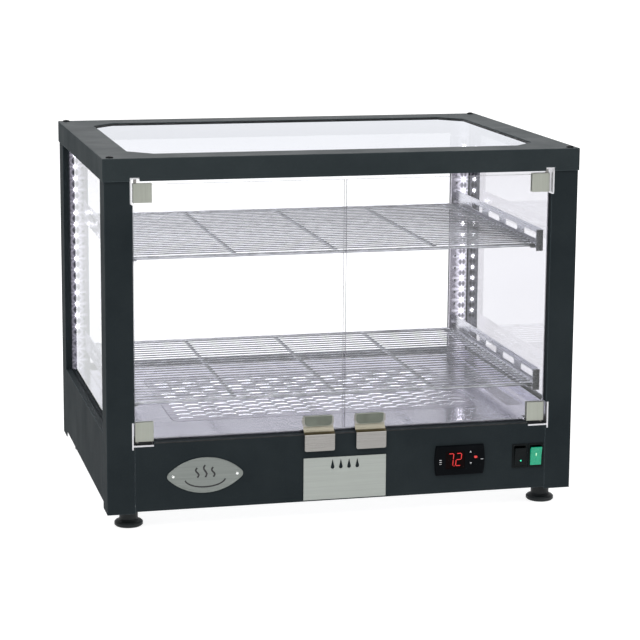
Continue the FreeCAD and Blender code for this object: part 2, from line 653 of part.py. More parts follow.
def controller():
    """Black panel controller: a bezel with bulging sides, the display window and its housing behind."""
    y0, y1 = f"{F} + post_inset - bezel_rise", f"{F} + post_inset"
    flat = block("control_x - control_w / 2", "control_x + control_w / 2", y0, y1,
                 "control_z - control_tall / 2", "control_z + control_tall / 2")
    bulge = 130.0
    offset = math.sqrt(bulge ** 2 - (val("control_tall") / 2) ** 2) - val("control_w") / 2
    sides = [rod(f"{bulge}", "bezel_rise", f"control_x {sign} {offset}", y0, "control_z", "Y")
             for sign in "+-"]
    cheeks = doc.addObject("Part::MultiCommon", "cheeks")
    cheeks.Shapes = sides + [block("control_x - 60", "control_x + 60", y0, y1,
                                   "control_z - control_tall / 2", "control_z + control_tall / 2")]
    shell = rounded(fuse(flat, cheeks), 1.5, lambda e: e.BoundBox.YMax < number(y0) + 0.01)
    window = block("170", "203", f"{y0} - 1", f"{y0} + 1.5", "control_z - 14", "control_z + 15.5")
    keys = [rod("4.3", "10", x, f"{y0} - 2", z, "Y") for x, z in KEYS.values()]
    keep(cut(shell, window, *keys), "controller_bezel")
    glass = block("170.1", "202.9", f"{y0} + 0.3", f"{y0} + 1.5", "control_z - 13.9", "control_z + 15.4")
    keep(glass, "controller_display")
    keep(block("control_x - 35.5", "control_x + 35.5", y1, f"{F} + 66", "control_z - 14.5",
               "control_z + 14.5"), "controller_body")
    for name, (x, z) in KEYS.items():
        key = new_body("key")
        turned(key, [("0", "0"), ("4.1", "0"), ("4.1", "bezel_rise - 1.3"), ("3.4", "bezel_rise - 0.6"),
                     ("0", "bezel_rise - 0.4")])
        key.Placement.Rotation = Rotation(Vector(1, 0, 0), 90)
        keep(place(key, x, f"{y1} - 1.2", z), name)


KEYS = {"key_up": ("212.6", "99.2"), "key_set": ("221.6", "90.2"), "key_down": ("213.2", "80.4")}


def rocker_switch(x, name):
    """Panel rocker switch: housing with its frame, and a rocker that rests tipped to one side."""
    y = f"{F} + post_inset"
    half_w, half_t = "switch_w / 2", "switch_tall / 2"
    rim = block(f"{x} - {half_w}", f"{x} + {half_w}", f"{y} - 1.8", y, f"switch_z - {half_t}", f"switch_z + {half_t}")
    rim = rounded(rim, 0.8, lambda e: e.BoundBox.YMax < number(y) - 1.7)
    case = block(f"{x} - 10.8", f"{x} + 10.8", f"{y} - 0.5", f"{y} + 22", "switch_z - 18.2", "switch_z + 18.2")
    well = block(f"{x} - 9.8", f"{x} + 9.8", f"{y} - 4", f"{y} + 17", "switch_z - 17", "switch_z + 17")
    peg = rod("1.5", "20.4", f"{x} - 10.2", f"{y} + 4", "switch_z", "X")
    keep(fuse(cut(fuse(rim, case), well), peg), f"{name}_housing")
    body = new_body(f"{name}_rocker_block")
    sketch = outline(sketch_on(body, "X", "-9.4"), [
        ("-4.8", "-15.4"), ("-3.4", "0"), ("-4.8", "15.4"), ("-2.6", "15.4"), ("3.4", "6"), ("7", "3"),
        ("7", "-3"), ("3.4", "-6"), ("-2.6", "-15.4")])
    pad(body, sketch, "18.8")
    bore = rod("1.55", "24", "-12", "4", "0", "X")
    rocker = cut(body, bore)
    tilt = 8.0
    rest = Rotation(Vector(1, 0, 0), tilt)
    pivot = Vector(0, 4, 0)
    made = doc.addObject("Part::Compound", "rocker")
    made.Links = [rocker]
    made.Placement.Rotation = rest
    shift = pivot - rest.multVec(pivot)
    place(made, x, f"{y} + {shift.y}", f"switch_z + {shift.z}")
    keep(made, f"{name}_rocker")


def lens_outline(sketch, x, z, a, b, tip):
    """A pointed oval: two shallow arcs, and a small arc of radius tip at each end."""
    reach = a - tip
    big = (reach ** 2 + b ** 2 - tip ** 2) / (2 * (b - tip))
    lean = math.atan2(reach, big - b)
    up, right = math.pi / 2, 0.0
    for turn in (0, math.pi):
        side = math.cos(turn)
        shallow = Part.Circle(Vector(x, z - side * (big - b), 0), Vector(0, 0, 1), big)
        sketch.addGeometry(Part.ArcOfCircle(shallow, up + turn - lean, up + turn + lean), False)
        small = Part.Circle(Vector(x + side * reach, z, 0), Vector(0, 0, 1), tip)
        spread = math.pi / 2 - lean
        sketch.addGeometry(Part.ArcOfCircle(small, right + turn - spread, right + turn + spread), False)


def badge():
    """Plain pointed oval plate held by two rivets, with a raised rim."""
    y = f"{F} + post_inset"
    plate = new_body("badge_plate")
    x, z, a, b = -val("badge_x"), val("badge_z"), val("badge_a"), val("badge_b")
    sketch = sketch_on(plate, "Y", y)
    lens_outline(sketch, x, z, a, b, 7.5)
    pad(plate, sketch, "1.2")
    rim = sketch_on(plate, "Y", y)
    lens_outline(rim, x, z, a - 0.8, b - 0.8, 6.7)
    lens_outline(rim, x, z, a - 2.8, b - 2.8, 4.7)
    pad(plate, rim, "1.6")
    keep(plate, "badge")
    rivets = []
    for at in ("-badge_x - 52", "-badge_x + 52"):
        body = new_body("rivet")
        turned(body, [("0", "0"), ("2.6", "0"), ("2.2", "0.8"), ("1.2", "1.3"), ("0", "1.4")])
        body.Placement.Rotation = Rotation(Vector(1, 0, 0), 90)
        rivets.append(place(body, at, f"{y} - 1.2", "badge_z"))
    keep(group(*rivets), "badge_rivets")


# ---------------------------------------------------------------- feet

def feet():
    """Four levelling feet; each screws down out of the pan from its stop."""
    names = ("foot_front_left", "foot_rear_left", "foot_front_right", "foot_rear_right")
    for name, (x, y) in zip(names, corner_places("foot_x", "foot_inset")):
        body = new_body("foot")
        turned(body, [("0", "0"), ("foot_r - 2", "0"), ("foot_r", "2"), ("foot_r", "6"), ("foot_r - 2", "8"),
                      ("foot_neck_r + 2", "9.5"), ("foot_neck_r", "12"), ("foot_neck_r", "pan_z"), ("5", "pan_z"),
                      ("5", "pan_z + 26"), ("0", "pan_z + 26")])
        keep(place(body, x, y), name)


# ---------------------------------------------------------------- inside the cabinet

def upright():
    """Stainless channel in the rear corner that the shelf brackets hang on."""
    y = f"{B} - upright_y_gap"
    x0, x1 = "upright_in_x", "upright_out_x"
    body = new_body("upright_channel")
    profile = outline(sketch_on(body, "Z", "deck_z"), [
        (x0, f"{y} + 7.2"), (x0, y), (x1, y), (x1, f"{y} + 7.2"), (f"{x1} - sheet", f"{y} + 7.2"),
        (f"{x1} - sheet", f"{y} + sheet"), (f"{x0} + sheet", f"{y} + sheet"), (f"{x0} + sheet", f"{y} + 7.2")])
    pad(body, profile, "590 - deck_z")
    doc.recompute()
    holes = sketch_on(body, "Y", y)
    for n in range(18):
        slot_hole(holes, 350.5, 170.0 + 23.0 * n, 4.2, 4.0)
    made = body.newObject("PartDesign::Pocket", "holes")
    made.Profile = holes
    made.Length = 6
    made.Midplane = True
    return body


def led_strip():
    """Narrow circuit strip with a row of square lamps."""
    y = f"{B} - upright_y_gap"
    strip = block("led_x - 5", "led_x + 5", f"{y} - 1.2", y, "led_low_z - 12", "led_low_z + 15 * led_pitch + 12")
    lamps = [block("led_x - 2.5", "led_x + 2.5", f"{y} - 2.8", f"{y} - 1.2", f"led_low_z + {n} * led_pitch - 2.5",
                   f"led_low_z + {n} * led_pitch + 2.5") for n in range(16)]
    return fuse(strip, *lamps)


def rack(z):
    """Side bracket of a shelf: a plate with long holes, a ledge low on it and a bent tab at the front."""
    y0, y1 = f"{F} + rack_front", f"{B} - upright_y_gap"
    body = new_body("rack_plate")
    face = outline(sketch_on(body, "X", "rack_x"), [
        (y0, z), (y1, z), (y1, f"{z} + rack_tall"), (f"{y0} + 6", f"{z} + rack_tall"),
        (y0, f"{z} + rack_tall - 1")])
    pad(body, face, "sheet")
    doc.recompute()
    holes = sketch_on(body, "X", "rack_x")
    for n in range(4):
        slot_hole(holes, number(F) + 120 + 96 * n, number(z) + 21, 64.0, 10.6)
    pocket_through(body, holes)
    ledge = block("rack_x - 20", "rack_x + sheet", y0, y1, f"{z} + rack_step", f"{z} + rack_step + sheet")
    tab = block("rack_x - 10.5", "rack_x + sheet", y0, f"{y0} + sheet", z, f"{z} + rack_tall - 1")
    return fuse(body, ledge, tab)


def wire_shelf(name, z):
    """Chrome wire shelf: cross rods front to back, wires from side to side, and a rod along the front."""
    body = new_body("wires")
    y0, y1 = f"{F} + shelf_front", f"{B} - 30"
    r, w = "shelf_rod_r", "shelf_wire_r"
    low = f"{z} + {r}"
    across = sketch_on(body, "Y", f"{y0} + {r}")
    for x in ("-shelf_half_w", "-shelf_half_w / 2", "0", "shelf_half_w / 2", "shelf_half_w"):
        circle(across, x, low, r)
    rails = pad(body, across, f"({y1}) - ({y0}) - 2 * {r}")
    rails.Reversed = True
    wires = sketch_on(body, "X")
    top = f"{z} + 2 * {r} + {w} - 0.4"
    count = int((number(y1) - number(y0) - 12) / val("shelf_pitch"))
    for n in range(count):
        circle(wires, f"{y0} + 12 + {n} * shelf_pitch", top, w)
    pad(body, wires, f"2 * shelf_half_w + 2 * {r}", both_ways=True)
    edges = sketch_on(body, "X")
    circle(edges, f"{y0} + {r}", low, r)
    circle(edges, f"{y1} - {r}", low, r)
    pad(body, edges, f"2 * shelf_half_w + 2 * {r}", both_ways=True)
    keep(body, name)


# ---------------------------------------------------------------- inside the base

def heater():
    """Bent tubular heating element on a standing plate, under one band of slots."""
    y0, y1, z = f"{F} + 120", "190", "108"
    legs = [rod("4", f"({y1}) - ({y0})", x, y0, z, "Y") for x in ("312.5", "336.5")]
    bend = doc.addObject("Part::Torus", "bend")
    bend.Radius1 = 12
    bend.Radius2 = 4
    bend.Angle3 = 180
    bend.Placement.Rotation = Rotation(Vector(0, 0, 1), 180)
    place(bend, "324.5", y0, z)
    plate = block("300", "349", y1, f"{y1} + 2", "pan_z + sheet", "124")
    tails = [rod("4", "14", x, f"{y1} + 2", z, "Y") for x in ("312.5", "336.5")]
    return fuse(*legs, bend, plate, *tails)


def fan():
    """Standing air fan behind the tub: a square frame with struts and a boss, and the turning rotor."""
    x0, x1, y0, y1, z0 = "-46", "46", "60", "85", "pan_z + sheet"
    middle_z = "pan_z + sheet + 46"
    frame = block(x0, x1, y0, y1, z0, f"{z0} + 92")
    duct = rod("43.5", "40", "0", f"{y0} - 5", middle_z, "Y")
    ring = cut(frame, duct)
    bars = [block("-44.5", "44.5", f"{y1} - 3", y1, f"{middle_z} - 2.5", f"{middle_z} + 2.5"),
            block("-2.5", "2.5", f"{y1} - 3", y1, f"{middle_z} - 44.5", f"{middle_z} + 44.5")]
    boss = rod("17", "8", "0", f"{y1} - 8", middle_z, "Y")
    shaft = rod("2", "16", "0", f"{y1} - 24", middle_z, "Y")
    keep(fuse(ring, *bars, boss, shaft), "fan_frame")
    body = new_body("rotor_hub")
    circle(sketch_on(body, "Y", "0"), "0", "0", "18")
    pad(body, body.Group[0], "12").Reversed = True
    doc.recompute()
    blade = sketch_on(body, "X", "15")
    outline(blade, [("0.5", "-6"), ("2.5", "-6"), ("11.5", "6"), ("9.5", "6")])
    wing = pad(body, blade, "26")
    doc.recompute()
    spin = body.newObject("PartDesign::PolarPattern", "spin")
    spin.Originals = [wing]
    spin.Axis = (next(f for f in body.Origin.OriginFeatures if f.Role == "Y_Axis"), [""])
    spin.Angle = 360
    spin.Occurrences = 7
    body.Tip = spin
    bore = rod("2.05", "30", "0", "-5", "0", "Y")
    made = group(cut(body, bore))
    keep(place(made, "0", f"{y0} + 3", middle_z), "fan_rotor")


def electrics():
    """Sensor, safety thermostat, terminal block, lamp driver and the gland where the lead comes in."""
    pan = "pan_z + sheet"
    stem = block("-150", "-144", "100", "106", pan, "120")
    keep(fuse(stem, rod("3", "60", "-170", "103", "120", "X")), "temperature_probe")
    disc = rod("12", "12", "150", "120", pan)
    keep(fuse(disc, block("136", "164", "116", "124", pan, f"{pan} + 2")), "safety_thermostat")
    strip = block("-320", "-250", "212", "234", pan, f"{pan} + 22")
    wells = [block(f"{-316 + 11 * n}", f"{-308 + 11 * n}", "208", "238", f"{pan} + 14", f"{pan} + 30")
             for n in range(6)]
    keep(cut(strip, *wells), "terminal_block")
    driver = block("-230", "-150", "-200", "-150", pan, f"{pan} + 30")
    keep(rounded(driver, 2.0, lambda e: runs_along(e, 2)), "lamp_driver")
    out = f"{B} - post_inset"
    # the gland stays within the depth of the case, so that the case can stand against a wall
    body = rod("8.9", "20", "-290", f"{out} - 20", "70", "Y")
    nut = rod("13", "4", "-290", f"{out} - sheet - 4", "70", "Y")
    collar = rod("12", "2", "-290", out, "70", "Y")
    passage = rod("4", "40", "-290", f"{out} - 25", "70", "Y")
    keep(cut(fuse(body, nut, collar), passage), "cable_gland")


# ---------------------------------------------------------------- build

both_sides(front_post, "post_front_left", "post_front_right")
both_sides(rear_post, "post_rear_left", "post_rear_right")
top_frame()
top_screws()
fixed_glass()
top_gasket()
both_sides(door_glass, "left_door_glass", "right_door_glass")
both_sides(door_clamps, "left_door_clamps", "right_door_clamps")
both_sides(door_pull, "left_door_pull", "right_door_pull")
hinge_fittings()
front_fascia()
both_sides(side_panel, "left_panel", "right_panel")
rear_panel()
bottom_pan()
deck()
deck_plate()
water_tub()
drawer_front()
tub_runners()
controller()
rocker_switch("lamp_switch_x", "lamp_switch")
rocker_switch("power_switch_x", "power_switch")
badge()
feet()
both_sides(upright, "left_upright", "right_upright")
pair(led_strip(), "led_strips")
pair(rack("rack_low_z"), "lower_racks")
pair(rack("rack_high_z"), "upper_racks")
wire_shelf("lower_shelf", "rack_low_z + rack_step + sheet")
wire_shelf("upper_shelf", "rack_high_z + rack_step + sheet")
pair(heater(), "heaters")
fan()
electrics()
doc.recompute()

faults = [o.Name + " " + str(o.State) for o in doc.Objects if {"Invalid", "Error"} & set(o.State)]
for node in NODES:
    if node.Shape.isNull() or not node.Shape.isValid() or not node.Shape.Solids:
        faults.append(node.Label)
if faults:
    raise RuntimeError("failed: " + ", ".join(faults))

os.makedirs("parts", exist_ok=True)
for node in NODES:
    node.Shape.exportStep(os.path.join("parts", node.Label + ".step"))
print(len(NODES), "sub-parts")
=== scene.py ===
import math

import bmesh
import bpy
from mathutils import Matrix, Vector


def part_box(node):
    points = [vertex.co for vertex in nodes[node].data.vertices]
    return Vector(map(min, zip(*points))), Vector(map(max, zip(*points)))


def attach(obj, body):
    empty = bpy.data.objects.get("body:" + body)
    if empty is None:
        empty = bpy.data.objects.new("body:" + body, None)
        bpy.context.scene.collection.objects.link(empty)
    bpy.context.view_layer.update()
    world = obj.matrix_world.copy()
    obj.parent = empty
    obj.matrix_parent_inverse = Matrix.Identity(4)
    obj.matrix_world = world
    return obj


# Looks for the heated glass display case. Metres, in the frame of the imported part: +X right seen from
# the front, +Y to the back, +Z up.

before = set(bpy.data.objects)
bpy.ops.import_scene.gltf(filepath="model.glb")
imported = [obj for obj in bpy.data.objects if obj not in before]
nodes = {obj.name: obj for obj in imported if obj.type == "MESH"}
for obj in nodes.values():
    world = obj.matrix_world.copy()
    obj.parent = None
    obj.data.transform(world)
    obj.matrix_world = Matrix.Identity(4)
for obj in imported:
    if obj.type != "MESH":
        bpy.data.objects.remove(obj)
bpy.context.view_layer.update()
MM = 0.001

# The two upright rows of lamps: each follows the middle of a strip 10 mm wide, and its first and last lamps
# stand equally far from the strip's ends.
STRIP_LOW, STRIP_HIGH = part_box("led_strips")
LAMP_X = STRIP_HIGH.x - 5.0 * MM
LAMP_COUNT = 16
LAMP_FIRST = 12.0 * MM
LAMP_PITCH = (STRIP_HIGH.z - STRIP_LOW.z - 2 * LAMP_FIRST) / (LAMP_COUNT - 1)


# ---------------------------------------------------------------- procedural materials

class Finish:
    """A Principled material and the nodes that drive it, in the piece's own coordinates in metres."""

    def __init__(self, name, **sockets):
        self.material = bpy.data.materials.new(name)
        self.material.use_nodes = True
        self.tree = self.material.node_tree
        self.shader = self.tree.nodes["Principled BSDF"]
        self.output = self.tree.nodes["Material Output"]
        for socket, value in sockets.items():
            self.shader.inputs[socket.replace("_", " ")].default_value = value
        self.place = self.add("ShaderNodeTexCoord").outputs["Object"]
        self.normal = None

    def add(self, kind, inputs=None, **settings):
        node = self.tree.nodes.new(kind)
        for name, value in settings.items():
            setattr(node, name, value)
        for name, value in (inputs or {}).items():
            if isinstance(value, bpy.types.NodeSocket):
                self.tree.links.new(value, node.inputs[name])
            else:
                node.inputs[name].default_value = value
        return node

    def drive(self, socket, value):
        self.tree.links.new(value, self.shader.inputs[socket])

    def stretched(self, x, y, z):
        """The coordinates with each axis multiplied."""
        return self.add("ShaderNodeMapping", {"Vector": self.place, "Scale": (x, y, z)}).outputs["Vector"]

    def noise(self, scale, detail=3.0, roughness=0.5, at=None):
        node = self.add("ShaderNodeTexNoise", {"Vector": at or self.place, "Scale": scale, "Detail": detail,
                                               "Roughness": roughness})
        return node.outputs["Fac"]

    def spread(self, factor, low, high, start=0.3, end=0.7):
        """The factor's range from start to end, turned into low to high."""
        node = self.add("ShaderNodeMapRange", {"Value": factor, "From Min": start, "From Max": end,
                                               "To Min": low, "To Max": high})
        return node.outputs["Result"]

    def ramp(self, factor, *stops):
        node = self.add("ShaderNodeValToRGB", {"Fac": factor})
        elements = node.color_ramp.elements
        while len(elements) < len(stops):
            elements.new(0.5)
        for element, (at, colour) in zip(elements, stops):
            element.position = at
            element.color = (*colour, 1.0)
        return node.outputs["Color"]

    def mix(self, factor, first, second):
        """The first colour where factor is 0 and the second where it is 1."""
        node = self.add("ShaderNodeMix", data_type="RGBA")
        self.tree.links.new(factor, node.inputs["Factor"])
        for socket, value in ((node.inputs[6], first), (node.inputs[7], second)):
            if isinstance(value, bpy.types.NodeSocket):
                self.tree.links.new(value, socket)
            else:
                socket.default_value = (*value, 1.0)
        return node.outputs[2]

    def compute(self, operation, *values):
        return self.add("ShaderNodeMath", dict(enumerate(values)), operation=operation).outputs[0]

    def times(self, first, second):
        return self.compute("MULTIPLY", first, second)

    def plus(self, first, second):
        return self.compute("ADD", first, second)

    def along(self, vector, axis):
        """A vector's component along an axis."""
        return self.add("ShaderNodeSeparateXYZ", {0: vector}).outputs[axis]

    def facing(self, axis):
        """How far the surface faces along an axis, from -1 to 1."""
        return self.along(self.add("ShaderNodeTexCoord").outputs["Normal"], axis)

    def soft_edges(self, radius):
        """Shades the edges as if they were rounded, and returns how near each point is to one."""
        bevel = self.add("ShaderNodeBevel", {"Radius": radius}, samples=4)
        flat = self.add("ShaderNodeNewGeometry").outputs["Normal"]
        self.normal = bevel.outputs["Normal"]
        same = self.add("ShaderNodeVectorMath", {0: self.normal, 1: flat}, operation="DOT_PRODUCT")
        return self.spread(same.outputs["Value"], 1.0, 0.0, 0.75, 0.99)

    def bump(self, height, distance, strength=1.0):
        """Adds relief of the given depth in metres."""
        node = self.add("ShaderNodeBump", {"Height": height, "Distance": distance, "Strength": strength})
        if self.normal is not None:
            self.tree.links.new(self.normal, node.inputs["Normal"])
        self.normal = node.outputs["Normal"]

    def done(self):
        if self.normal is not None:
            self.drive("Normal", self.normal)
        return self.material


def powder_coat(name, dark, light, gloss, sheen=0.05):
    """Powder coat: orange peel, wiping marks, dust, a painted highlight along the edges, and duller on
    upright faces.
    """
    f = Finish(name)
    dust = tuple(2.4 * c for c in light)
    # A much paler colour mixed in along the edges: a painted edge highlight, not wear.
    painted_edge_highlight = tuple(6.0 * c for c in light)
    edge = f.soft_edges(0.0016)
    f.drive("Specular IOR Level", f.spread(f.facing("Z"), 0.008, sheen, 0.1, 0.6))
    cloud = f.noise(9.0, 5.0, 0.6)
    tone = f.ramp(cloud, (0.3, dark), (0.7, light))
    speck = f.spread(f.noise(1400.0, 2.0), 0.0, 0.4, 0.6, 0.75)
    f.drive("Base Color", f.mix(f.times(edge, 0.6), f.mix(speck, tone, dust), painted_edge_highlight))
    wiped = f.noise(1.0, 4.0, 0.6, f.stretched(14.0, 17.0, 9.0))
    f.drive("Roughness", f.spread(wiped, gloss, gloss + 0.1))
    f.bump(f.noise(650.0, 2.0), 0.00004, 0.5)
    return f.done()


# What each coordinate is multiplied by for a grain along one axis: little along it, much across it.
GRAIN = {"x": (3.0, 420.0, 420.0), "y": (420.0, 3.0, 420.0), "z": (420.0, 420.0, 3.0)}


def brushed_steel(name, grain, dark, light, smooth, relief=0.00002, drift=0.35, shape=None):
    """Brushed sheet: fine and coarse grain one way, and the haze of wiping; shape may change its tone."""
    f = Finish(name, Metallic=1.0)
    f.soft_edges(0.0005)
    coarse = f.noise(0.55, 3.0, 0.6, f.stretched(*GRAIN[grain]))
    fine = f.noise(4.5, 2.0, 0.5, f.stretched(*GRAIN[grain]))
    haze = f.noise(8.0, 4.0, 0.6)
    lines = f.spread(f.plus(f.times(coarse, 0.3), f.times(fine, 0.7)), 0.0, 1.0, 0.36, 0.64)
    tone = f.ramp(lines, (0.0, dark), (1.0, light))
    tone = f.mix(f.spread(haze, 0.0, drift, 0.45, 0.75), tone, tuple(0.88 * c for c in dark))
    f.drive("Base Color", shape(f, tone) if shape else tone)
    f.drive("Roughness", f.plus(f.spread(lines, smooth, smooth + 0.08, 0.0, 1.0), f.spread(haze, 0.0, 0.06)))
    f.bump(lines, relief, 0.3)
    return f.done()


def painted_lamp_rays(f, reach):
    """How strongly the painted glow of the nearest lamp of its row falls on a point, with painted rays
    standing out round each lamp.
    """
    ray_count, ray_length, core = 8.0, 0.22 * reach, 0.15 * reach
    beside = f.plus(f.compute("ABSOLUTE", f.along(f.place, "X")), -LAMP_X)
    step = f.plus(f.along(f.place, "Z"), LAMP_PITCH / 2 - STRIP_LOW.z - LAMP_FIRST)
    above = f.plus(f.compute("FLOORED_MODULO", step, LAMP_PITCH), -LAMP_PITCH / 2)
    away = f.compute("SQRT", f.plus(f.times(beside, beside), f.times(above, above)))
    ray = f.compute("COSINE", f.times(f.compute("ARCTAN2", above, beside), ray_count))
    near = f.plus(away, f.times(ray, -ray_length))
    return f.spread(near, 1.0, 0.0, core, reach)


def lamp_board_painted_glow():
    """Pale lamp board with a painted glow and painted rays round each of its lamps."""
    f = Finish("lamp_board_painted_glow", Specular_IOR_Level=0.5)
    f.drive("Base Color", f.ramp(f.noise(200.0, 3.0), (0.3, (0.30, 0.28, 0.34)), (0.7, (0.42, 0.40, 0.46))))
    f.drive("Roughness", f.spread(f.noise(150.0, 3.0), 0.25, 0.45))
    f.shader.inputs["Emission Color"].default_value = (0.92, 0.9, 1.0, 1.0)
    # Emission on the board round each lamp: painted glow and rays, not a lamp.
    f.drive("Emission Strength", f.times(painted_lamp_rays(f, 9 * MM), 1.6))
    return f.done()


def lit_upright():
    """Brushed upright beside a row of lamps, with painted glare rays from them across it."""
    def add_painted_rays(f, tone):
        f.shader.inputs["Emission Color"].default_value = (0.9, 0.88, 1.0, 1.0)
        # Emission on the steel upright: painted glare from the lamps.
        f.drive("Emission Strength", f.times(painted_lamp_rays(f, 17 * MM), 0.9))
        return tone
    return brushed_steel("upright_grain_painted_glare", "z", (0.27, 0.25, 0.30), (0.38, 0.36, 0.41), 0.2, shape=add_painted_rays)


def pull_steel():
    """Satin strip with painted reflections where it bends over the sill: a cream one above a dark brown one.
    """
    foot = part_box("left_door_pull")[0].z
    bottom, top = foot + 25.0 * MM, foot + 41.0 * MM

    def bend(f, tone):
        z = f.along(f.place, "Z")
        # Colour bands up the bend: a painted edge highlight, then a painted dark reflection, then a painted
        # cream reflection.
        painted_reflection_bands = f.ramp(f.spread(z, 0.0, 1.0, bottom, top), (0.13, (0.60, 0.58, 0.53)),
                      (0.18, (0.07, 0.055, 0.03)), (0.33, (0.13, 0.105, 0.06)), (0.42, (0.60, 0.55, 0.43)),
                      (0.82, (0.42, 0.40, 0.33)))
        painted_band_mask = f.times(f.spread(z, 0.0, 1.0, bottom + 1.7 * MM, bottom + 2.2 * MM),
                         f.spread(z, 1.0, 0.0, top - 2.5 * MM, top - 0.5 * MM))
        return f.mix(painted_band_mask, tone, painted_reflection_bands)
    return brushed_steel("fitting_satin_painted_reflection", "x", (0.27, 0.262, 0.25), (0.32, 0.312, 0.298), 0.22, 0.00001, 0.15,
                         bend)


def plated_wire():
    """Bright plating with small waves and faint dulling."""
    f = Finish("plated_wire", Metallic=1.0)
    f.drive("Base Color", f.ramp(f.noise(60.0, 3.0), (0.3, (0.34, 0.35, 0.37)), (0.7, (0.56, 0.57, 0.60))))
    f.drive("Roughness", f.spread(f.noise(90.0, 4.0, 0.6), 0.08, 0.24))
    f.bump(f.noise(120.0, 2.0), 0.00001, 0.4)
    return f.done()


def moulded(name, dark, light, low, high, grain=520.0, relief=0.00005, sheen=0.2):
    """Moulded plastic: fine spark texture, slight colour drift and handling shine."""
    f = Finish(name, Specular_IOR_Level=sheen)
    f.soft_edges(0.0006)
    f.drive("Base Color", f.ramp(f.noise(25.0, 4.0), (0.3, dark), (0.7, light)))
    f.drive("Roughness", f.spread(f.noise(45.0, 4.0, 0.6), low, high))
    f.bump(f.noise(grain, 3.0), relief, 0.5)
    return f.done()


def rubber():
    """Dull black rubber with a fine moulded grain."""
    f = Finish("gasket_rubber", Specular_IOR_Level=0.25)
    f.drive("Base Color", f.ramp(f.noise(80.0, 4.0), (0.3, (0.012, 0.012, 0.013)), (0.7, (0.03, 0.03, 0.03))))
    f.drive("Roughness", f.spread(f.noise(120.0, 3.0), 0.6, 0.85))
    f.bump(f.noise(900.0, 2.0), 0.00005, 0.6)
    return f.done()


def glass(name, across, tint, shine):
    """A clear pane across one axis: mirror-like at a low angle, clear face on, with ground edges."""
    f = Finish(name)
    edge_tone = f.ramp(f.noise(1.0, 3.0, 0.6, f.stretched(60.0, 60.0, 60.0)),
                       (0.3, (0.07, 0.07, 0.09)), (0.7, (0.17, 0.17, 0.20)))
    f.drive("Base Color", edge_tone)
    f.drive("Roughness", f.spread(f.noise(300.0, 3.0), 0.22, 0.4))
    wipe = f.noise(1.0, 4.0, 0.6, f.stretched(6.0, 6.0, 22.0))
    clear = f.add("ShaderNodeBsdfTransparent", {"Color": (*tint, 1.0)})
    mirror = f.add("ShaderNodeBsdfGlossy", {"Color": (0.95, 0.97, 0.98, 1.0),
                                            "Roughness": f.spread(wipe, 0.0, 0.05)})
    entering = f.spread(f.add("ShaderNodeNewGeometry").outputs["Backfacing"], 1.7, 0.0, 0.0, 1.0)
    fresnel = f.times(f.add("ShaderNodeFresnel", {"IOR": 1.5}).outputs[0], f.times(entering, shine))
    face = f.add("ShaderNodeMixShader", {0: fresnel, 1: clear.outputs[0], 2: mirror.outputs[0]})
    rim = f.spread(f.compute("ABSOLUTE", f.facing(across)), 0.85, 0.0, 0.3, 0.7)
    whole = f.add("ShaderNodeMixShader", {0: rim, 1: face.outputs[0], 2: f.shader.outputs[0]})
    f.tree.links.new(whole.outputs[0], f.output.inputs["Surface"])
    return f.material


def lit(name, colour, strength, body, low=0.7):
    """A glowing surface that isn't quite even, under a slightly glossy skin."""
    f = Finish(name, Base_Color=(*body, 1.0), Emission_Strength=strength)
    shade = f.ramp(f.noise(260.0, 3.0), (0.3, tuple(low * c for c in colour)), (0.7, colour))
    f.drive("Emission Color", shade)
    f.drive("Roughness", f.spread(f.noise(90.0, 3.0), 0.2, 0.38))
    return f.done()


def enamel(name, dark, light):
    """A printed or enamelled mark, slightly uneven."""
    f = Finish(name, Specular_IOR_Level=0.5)
    f.drive("Base Color", f.ramp(f.noise(200.0, 3.0), (0.3, dark), (0.7, light)))
    f.drive("Roughness", f.spread(f.noise(150.0, 3.0), 0.25, 0.45))
    f.bump(f.noise(700.0, 2.0), 0.00002, 0.4)
    return f.done()


def heat_tinted():
    """Element tube, straw and blue where it runs hot."""
    f = Finish("heat_tinted_tube", Metallic=1.0)
    f.drive("Base Color", f.ramp(f.noise(18.0, 4.0, 0.6), (0.3, (0.22, 0.2, 0.24)), (0.5, (0.42, 0.34, 0.26)),
                                 (0.7, (0.5, 0.47, 0.42))))
    f.drive("Roughness", f.spread(f.noise(140.0, 4.0), 0.3, 0.55))
    f.bump(f.noise(500.0, 3.0), 0.00004, 0.5)
    return f.done()


COAT = powder_coat("frame_powder_coat", (0.0145, 0.0190, 0.0215), (0.0200, 0.0255, 0.0280), 0.5)
# The lid gets a lighter copy of the frame's powder coat: painted light for the brighter light on the lid.
LIT_CAP_COAT = powder_coat("lid_powder_coat_painted_lighter", (0.0215, 0.0275, 0.0300), (0.0280, 0.0350, 0.0375), 0.5)
SCREW_COAT = powder_coat("screw_coat", (0.004, 0.005, 0.006), (0.008, 0.009, 0.010), 0.35)
DECK_STEEL = brushed_steel("deck_grain", "x", (0.60, 0.59, 0.67), (0.74, 0.73, 0.82), 0.07, 0.000001)
# The tub and its runners are dark: painted shade, so the gap round the plate and the slots look dark.
SHADED_TUB_STEEL = brushed_steel("tub_grain_painted_shade", "y", (0.13, 0.127, 0.145), (0.19, 0.186, 0.205), 0.3)
